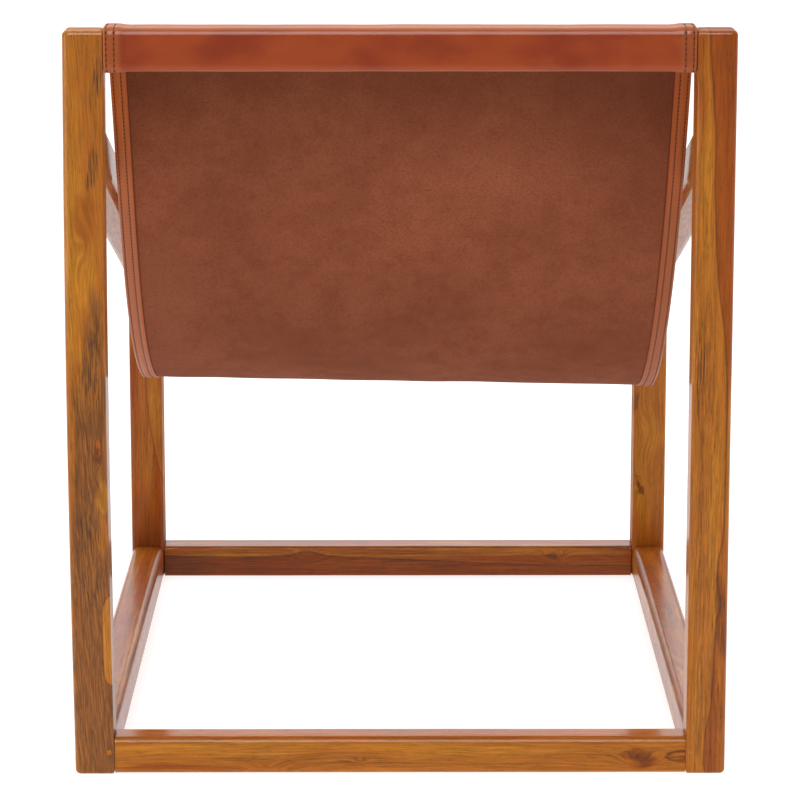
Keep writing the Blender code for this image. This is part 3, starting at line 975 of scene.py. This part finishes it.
def hide_outline():
    """The hide's cross section, once round, as (edge it hangs from, distance in, offset, side).

    TURNED is the grain side where it is turned over the edge.
    """
    fold = (LEATHER + HEM_STEP) / 2
    steps = sorted([fold, *BETWEEN_STITCHES, FIELD_EDGE] + [
        line + around for line in STITCH_LINES for around in AROUND_STITCH
    ])

    def surface(distance, level, inward):
        if any(abs(distance - line) < GROOVE_HALF for line in STITCH_LINES):
            return level + inward * GROOVE
        if STITCH_LINES[0] + PUFF_MARGIN < distance < STITCH_LINES[1] - PUFF_MARGIN:
            return level - inward * PUFF
        return level

    top = [(distance, surface(distance, LEATHER, -1), GRAIN) for distance in steps]
    fold_arc = []
    for step in range(1, FOLD_STEPS):
        angle = math.pi * step / FOLD_STEPS
        level = (LEATHER - HEM_STEP) / 2 + fold * math.cos(angle)
        fold_arc.append((fold - fold * math.sin(angle), level, TURNED))
    strip = [(d, surface(d, -HEM_STEP, 1), TURNED) for d in steps if d < HEM_WIDTH - 0.001]
    strip += [
        (HEM_WIDTH - 0.0006, -HEM_STEP, TURNED), (HEM_WIDTH - 0.0002, 0.0002 - HEM_STEP, TURNED),
        (HEM_WIDTH, 0.0006 - HEM_STEP, TURNED), (HEM_WIDTH + 0.0001, 0.0, FLESH),
        (HEM_WIDTH + 0.0012, 0.0, FLESH), (0.021, 0.0, FLESH), (FIELD_EDGE, 0.0, FLESH),
    ]
    field = [step / FIELD_STEPS for step in range(1, FIELD_STEPS)]
    outline = [("left", *p) for p in top]
    outline += [("middle", share, LEATHER, GRAIN) for share in field]
    outline += [("right", *p) for p in top[::-1] + fold_arc + strip]
    outline += [("middle", 1 - share, 0.0, FLESH) for share in field]
    return outline + [("left", *p) for p in strip[::-1] + fold_arc[::-1]]


def leather_mesh(sling):
    outline = hide_outline()
    bm = bmesh.new()
    layer = bm.verts.layers.float_vector.new("hide")
    rings = []
    for station, run in enumerate(sling.run):
        left, right = sling.edges(run)
        ring = []
        for anchor, distance, offset, _ in outline:
            near = distance
            if anchor == "left":
                x = left - distance
            elif anchor == "right":
                x = distance - right
            else:
                x = left - FIELD_EDGE - distance * (left + right - 2 * FIELD_EDGE)
                near = 2 * FIELD_EDGE
            vert = bm.verts.new(sling.point(station, x, offset, near))
            vert[layer] = Vector((x, run, min(left - x, x + right)))
            ring.append(vert)
        rings.append(ring)
    slot_of = {GRAIN: 0, FLESH: 1, TURNED: 2}
    for i, j, corners in quads(rings):
        face = bm.faces.new(corners)
        face.material_index = slot_of[max(outline[i][3], outline[j][3])]
    for ring in (rings[0], list(reversed(rings[-1]))):
        bm.faces.new(ring).material_index = slot_of[FLESH]
    return bm


# Leather finish: dyes of the grain side, with painted light on the roll's top and a painted floor
# reflection under it, of the turned hems (right and left, the left lighter as painted light),
# painted shade along the stitch rows, and of the flesh side

DYE = (0.37, 0.059, 0.011)
DYE_DARK = (0.265, 0.034, 0.008)
DYE_BRIGHT = (0.425, 0.083, 0.014)
DYE_PORES = (0.16, 0.026, 0.008)
TOP_PAINTED_LIGHT = (0.5, 0.19, 0.075)
DULLED = (0.3, 0.085, 0.032)
HEM_WORN = ((0.26, 0.1, 0.042), (0.35, 0.145, 0.075))
STITCH_SOOT = (0.055, 0.016, 0.009)
SUEDE = (0.335, 0.101, 0.045)
SUEDE_DEEP = (0.246, 0.07, 0.031)
SUEDE_MOTTLE = (0.185, 0.048, 0.021)
SUEDE_NAP = (0.13, 0.034, 0.016)
SUEDE_SPECKLE = (0.12, 0.03, 0.013)
SUEDE_SHADE = (0.1, 0.026, 0.012)
THREAD = ((0.03, 0.01, 0.005), (0.065, 0.022, 0.011))

# Heights between which the painted light on the roll's top comes on, the painted floor reflection on
# its underside ends, and that begins
TOP_PAINTED_LIGHT_HEIGHTS = (0.7525, 0.757)
DULLED_UNTIL = (0.7135, 0.7215)
DULLED_FROM = (0.7, 0.71)


def sewn_lines(from_edge):
    """1 along the two rows of stitches, where needle and thread have darkened the leather."""
    return calc("MAXIMUM", *(bell(from_edge, line, 0.0008) for line in STITCH_LINES))


def grain_leather(name, coat, haze, hem_dyes):
    """The dyed, polished side: cloudy colour, fine pores and a soft gloss.

    hem_dyes are those of the right and the left hem.
    """
    new_material(name)
    place = object_place()
    hide = drawn("hide")
    across, run, from_edge = parts_of(hide)
    _, to_rear, height_on_chair = parts_of(place)
    patches = cloud(hide, (11, 17, 0), shift=(0.3, 0.9, 2))
    cloudy = cloud(hide, (30, 52, 0), 4.0, 0.6)
    fine = cloud(place, 900, 3.0, 0.6)
    pebble = node("TexVoronoi", {"Vector": place, "Scale": 1300.0}).outputs["Distance"]

    calm = smooth(run, 0.15, 0.22, 1.0, 0.35)
    patches = times(smooth(patches, 0.42, 0.68), calm)
    colour = mix(patches, DYE, DYE_DARK)
    colour = mix(smooth(cloudy, 0.5, 0.78, 0.0, 0.45), colour, DYE_BRIGHT)
    colour = mix(smooth(fine, 0.35, 0.75, 0.0, 0.2), colour, DYE_PORES)
    # Painted light: the roll's top bend is made lighter and tanner, as light falls on it from above.
    top_painted_light = smooth(height_on_chair, *TOP_PAINTED_LIGHT_HEIGHTS, 0.0, 0.45)
    colour = mix(top_painted_light, colour, TOP_PAINTED_LIGHT)
    bar_middle = middle_and_half("top_sling_bar")[0].y
    dulled = smooth(height_on_chair, *DULLED_UNTIL, 0.5, 0.0)
    dulled = times(dulled, smooth(height_on_chair, *DULLED_FROM))
    dulled = times(dulled, smooth(to_rear, bar_middle, bar_middle + 0.005))
    colour = mix(dulled, colour, DULLED)

    to_left = smooth(across, -0.2, 0.2)
    hem_dye, worn_dye = (mix(to_left, *dyes) for dyes in (hem_dyes, HEM_WORN))
    hem_dye = mix(smooth(run, 0.2, 0.42, 0.0, 0.85), hem_dye, worn_dye)
    colour = mix(smooth(from_edge, 0.013, 0.019, 0.6, 0.0), colour, hem_dye)
    colour = mix(times(sewn_lines(from_edge), 0.4), colour, STITCH_SOOT)
    return plug(
        Base_Color=colour,
        Roughness=smooth(cloudy, 0.3, 0.75, 0.42, 0.55),
        IOR=1.3, Specular_IOR_Level=0.15,
        Coat_Weight=coat_share(coat), Coat_Roughness=haze, Coat_IOR=1.29,
        Normal=bump(times_plus(pebble, 0.5, fine), 0.0001, 0.35),
    )


# Broad light and dark areas of the flesh side: across, along, two half sizes, share, colour
FLESH_AREAS = (
    (0.17, 0.29, 0.08, 0.07, 0.3, (0.12, 0.032, 0.014)),
    (-0.25, 0.27, 0.06, 0.13, 0.35, (0.12, 0.032, 0.014)),
    (-0.1, 0.32, 0.08, 0.045, 0.4, (0.42, 0.135, 0.062)),
    (0.25, 0.51, 0.05, 0.1, 0.4, (0.42, 0.14, 0.066)),
)


def flesh_leather():
    """The suede side: matt, with a short nap, darker where the hide turns up to the roll."""
    new_material("hide_flesh_side")
    place = object_place()
    hide = drawn("hide")
    across, run, from_edge = parts_of(hide)
    drift = cloud(hide, (7, 5, 0), 3.0, 0.6, (0.4, 0.2, 5))
    mottle = cloud(hide, (34, 28, 0), 5.0, 0.7)
    nap = cloud(place, 1300, 4.0, 0.7)
    speckle = cloud(place, 420, 4.0, 0.75)
    colour = mix(smooth(drift, 0.3, 0.7), SUEDE, SUEDE_DEEP)
    colour = mix(smooth(mottle, 0.4, 0.7, 0.0, 0.45), colour, SUEDE_MOTTLE)
    for across_at, run_at, wide, long, share, tint in FLESH_AREAS:
        near = times(bell(across, across_at, wide), bell(run, run_at, long))
        colour = mix(times(near, share), colour, tint)
    colour = mix(smooth(nap, 0.35, 0.72, 0.0, 0.5), colour, SUEDE_NAP)
    colour = mix(smooth(speckle, 0.42, 0.68, 0.0, 0.55), colour, SUEDE_SPECKLE)
    high = smooth(run, 0.16, 0.3, 0.5, 0.0)
    low = smooth(run, 0.36, 0.56, 0.0, 0.22)
    crease = smooth(from_edge, HEM_WIDTH + 0.0005, HEM_WIDTH + 0.0025, 0.7, 0.0)
    shade = calc("MAXIMUM", calc("ADD", high, low), crease)
    colour = mix(shade, colour, SUEDE_SHADE)
    return plug(
        Base_Color=colour, Roughness=smooth(mottle, 0.3, 0.7, 0.8, 0.92),
        IOR=1.3, Specular_IOR_Level=0.15, Normal=bump(nap, 0.0003, 0.5),
    )


def thread_finish():
    new_material("sewing_thread")
    twist = cloud(object_place(), 2500)
    return plug(
        Base_Color=mix(smooth(twist, 0.3, 0.7), *THREAD),
        Roughness=smooth(twist, 0.3, 0.7, 0.6, 0.75), Specular_IOR_Level=0.05,
        Normal=bump(twist, 0.0001, 0.5),
    )


STITCH_PITCH = 0.0052
STITCH_LONG = 0.0036
STITCH_RADIUS = 0.00048
STITCH_LEAN = math.radians(14)
STITCH_LIFT = 0.0001
STITCH_WANDER = 0.0003
BACK_STITCH = 0.8
STITCH_SIDES = 6
STITCH_SHARES = (-1.0, -0.8, -0.35, 0.35, 0.8, 1.0)
SEAM_ENDS = 0.02
SEAM_OVERLAP = 0.012
STITCH_SHARP_DEGREES = 80
HIDE_SHARP_DEGREES = 60


def add_stitch(bm, middle, along, up, half_long, radius):
    """One sewn stitch: a short thread whose ends dip into their holes."""
    side = along.cross(up).normalized()
    along = along * math.cos(STITCH_LEAN) + side * math.sin(STITCH_LEAN)
    side = along.cross(up).normalized()
    rings = []
    for share in STITCH_SHARES:
        thick = radius * (0.45 if abs(share) == 1.0 else 1.0)
        sink = radius * 1.5 * share ** 4
        centre = middle + along * (half_long * share) - up * sink
        ring = []
        for step in range(STITCH_SIDES):
            angle = 2 * math.pi * step / STITCH_SIDES
            ring.append(bm.verts.new(
                centre + (side * math.cos(angle) + up * (math.sin(angle) * 0.7)) * thick
            ))
        rings.append(ring)
    close_rings(bm, rings)


def make_stitches(sling, finish):
    """Two rows along each hem, seen on both faces of the hide."""
    sewn = []
    for word, side in (("left", 1), ("right", -1)):
        bm = bmesh.new()
        for line in STITCH_LINES:
            stitch = SEAM_ENDS
            while stitch < sling.length - SEAM_ENDS:
                station = max(i for i in range(len(sling.run) - 1) if sling.run[i] <= stitch)
                before, after = sling.run[station:station + 2]
                share = (stitch - before) / (after - before)
                faces = [(LEATHER - GROOVE, 1, STITCH_RADIUS)]
                if sling.top_run - SEAM_OVERLAP < stitch < sling.front_run + SEAM_OVERLAP:
                    faces.append((-HEM_STEP + GROOVE, -1, STITCH_RADIUS * BACK_STITCH))
                for offset, facing, radius in faces:
                    ends = []
                    for at in (station, station + 1):
                        edge = sling.edges(sling.run[at])[0 if side > 0 else 1]
                        ends.append(sling.point(at, side * (edge - line), offset, line))
                    place = ends[0].lerp(ends[1], share)
                    along = (ends[1] - ends[0]).normalized()
                    normal = sling.base(station, 0.5)[1]
                    up = Vector((0, normal.x, normal.y)) * facing
                    up = (up - along * up.dot(along)).normalized()
                    place.x += noise.noise(Vector((stitch * 300, line * 900, side))) * STITCH_WANDER
                    add_stitch(bm, place + up * STITCH_LIFT, along, up, STITCH_LONG / 2, radius)
                stitch += STITCH_PITCH
        sewn.append(finish_mesh(word + "_hem_stitching", bm, STITCH_SHARP_DEGREES))
        dress(sewn[-1], "leather", [finish])
    return sewn


def make_sling():
    sling = Sling()
    obj = finish_mesh("leather_hide", leather_mesh(sling), HIDE_SHARP_DEGREES)
    dress(obj, "leather", [
        grain_leather("hide_grain_side", 0.7, 0.2, ((0.345, 0.089, 0.022), (0.42, 0.11, 0.026))),
        flesh_leather(),
        grain_leather("hide_turned_hem", 0.25, 0.35, ((0.43, 0.125, 0.032), (0.57, 0.17, 0.042))),
    ], "leather_sling")
    sewn = make_stitches(sling, thread_finish())


# Studio

FLOOR_REACH = 30.0
HORIZON_BAND = (0.288, 0.045)


def make_floor():
    """A white floor, a little darker far behind the camera, as a studio's is."""
    far = FLOOR_REACH
    mesh = bpy.data.meshes.new("floor")
    corners = (-far, -far, 0), (far, -far, 0), (far, far, 0), (-far, far, 0)
    mesh.from_pydata(corners, [], [(0, 1, 2, 3)])
    floor = bpy.data.objects.new("floor", mesh)
    SCENE.collection.objects.link(floor)
    new_material("studio_floor")
    forward = parts_of(object_place())[1]
    mesh.materials.append(plug(
        Base_Color=(0.42, 0.42, 0.42), Roughness=0.9, IOR=1.2, Specular_IOR_Level=0.1,
        Emission_Color=(1, 1, 1), Emission_Strength=smooth(forward, 0.7, 2.3, 0.8, 0.22),
    ))


def make_world():
    """Bright in front of the chair, dimmer behind the camera and low over the horizon."""
    world = bpy.data.worlds.new("studio")
    world.use_nodes = True
    Work.tree = world.node_tree
    ground = world.node_tree.nodes["Background"]
    _, forward, up = parts_of(node("TexCoord").outputs["Generated"])
    level = smooth(forward, -0.6, 0.6, 1.15, 0.15)
    low, high = smooth(up, 0.12, 0.28, 0.25, 1.0), smooth(up, 0.24, 0.36, 0.0, 0.25)
    height = times_plus(bell(up, *HORIZON_BAND), 0.75, calc("ADD", low, high))
    strength = times_plus(level, height, smooth(up, 0.1, 0.9, 0.0, 0.3))
    seen = node("LightPath").outputs["Is Camera Ray"]
    fill(ground.inputs["Strength"], calc("MAXIMUM", strength, seen))
    fill(ground.inputs["Color"], (1, 1, 1))
    SCENE.world = world


def area_light(name, at, towards, size, power, glossy=True, diffuse=True):
    data = bpy.data.lights.new(name, "AREA")
    data.shape = "RECTANGLE"
    data.size, data.size_y = size
    data.energy = power
    light = bpy.data.objects.new(name, data)
    light.location = at
    light.rotation_euler = (Vector(towards) - Vector(at)).to_track_quat("-Z", "Y").to_euler()
    light.visible_camera = False
    light.visible_glossy = glossy
    light.visible_diffuse = diffuse
    SCENE.collection.objects.link(light)


def make_lights():
    """Each light that shows in the gloss has a twin that only lights the surfaces."""
    rear = (0.3, 3.7, 3.8), (0, 0.3, 0.5), (2.4, 3.0)
    left = (2.4, 1.5, 0.95), (0.3, 0.3, 0.5), (1.6, 1.9)
    area_light("rear_softbox", *rear, 300, diffuse=False)
    area_light("rear_fill", *rear, 113, glossy=False)
    area_light("left_panel", *left, 42, diffuse=False)
    area_light("left_fill", *left, 20, glossy=False)
    area_light("overhead", (0, -0.6, 3.6), (0, -0.2, 0), (3.0, 3.0), 28, glossy=False)


def set_view():
    view = SCENE.view_settings
    view.view_transform = "Standard"
    view.look = "None"
    view.exposure = 0.0
    view.gamma = 1.0


make_camera()
make_frame()
make_pins()
make_sling()
make_floor()
make_world()
make_lights()
set_view()
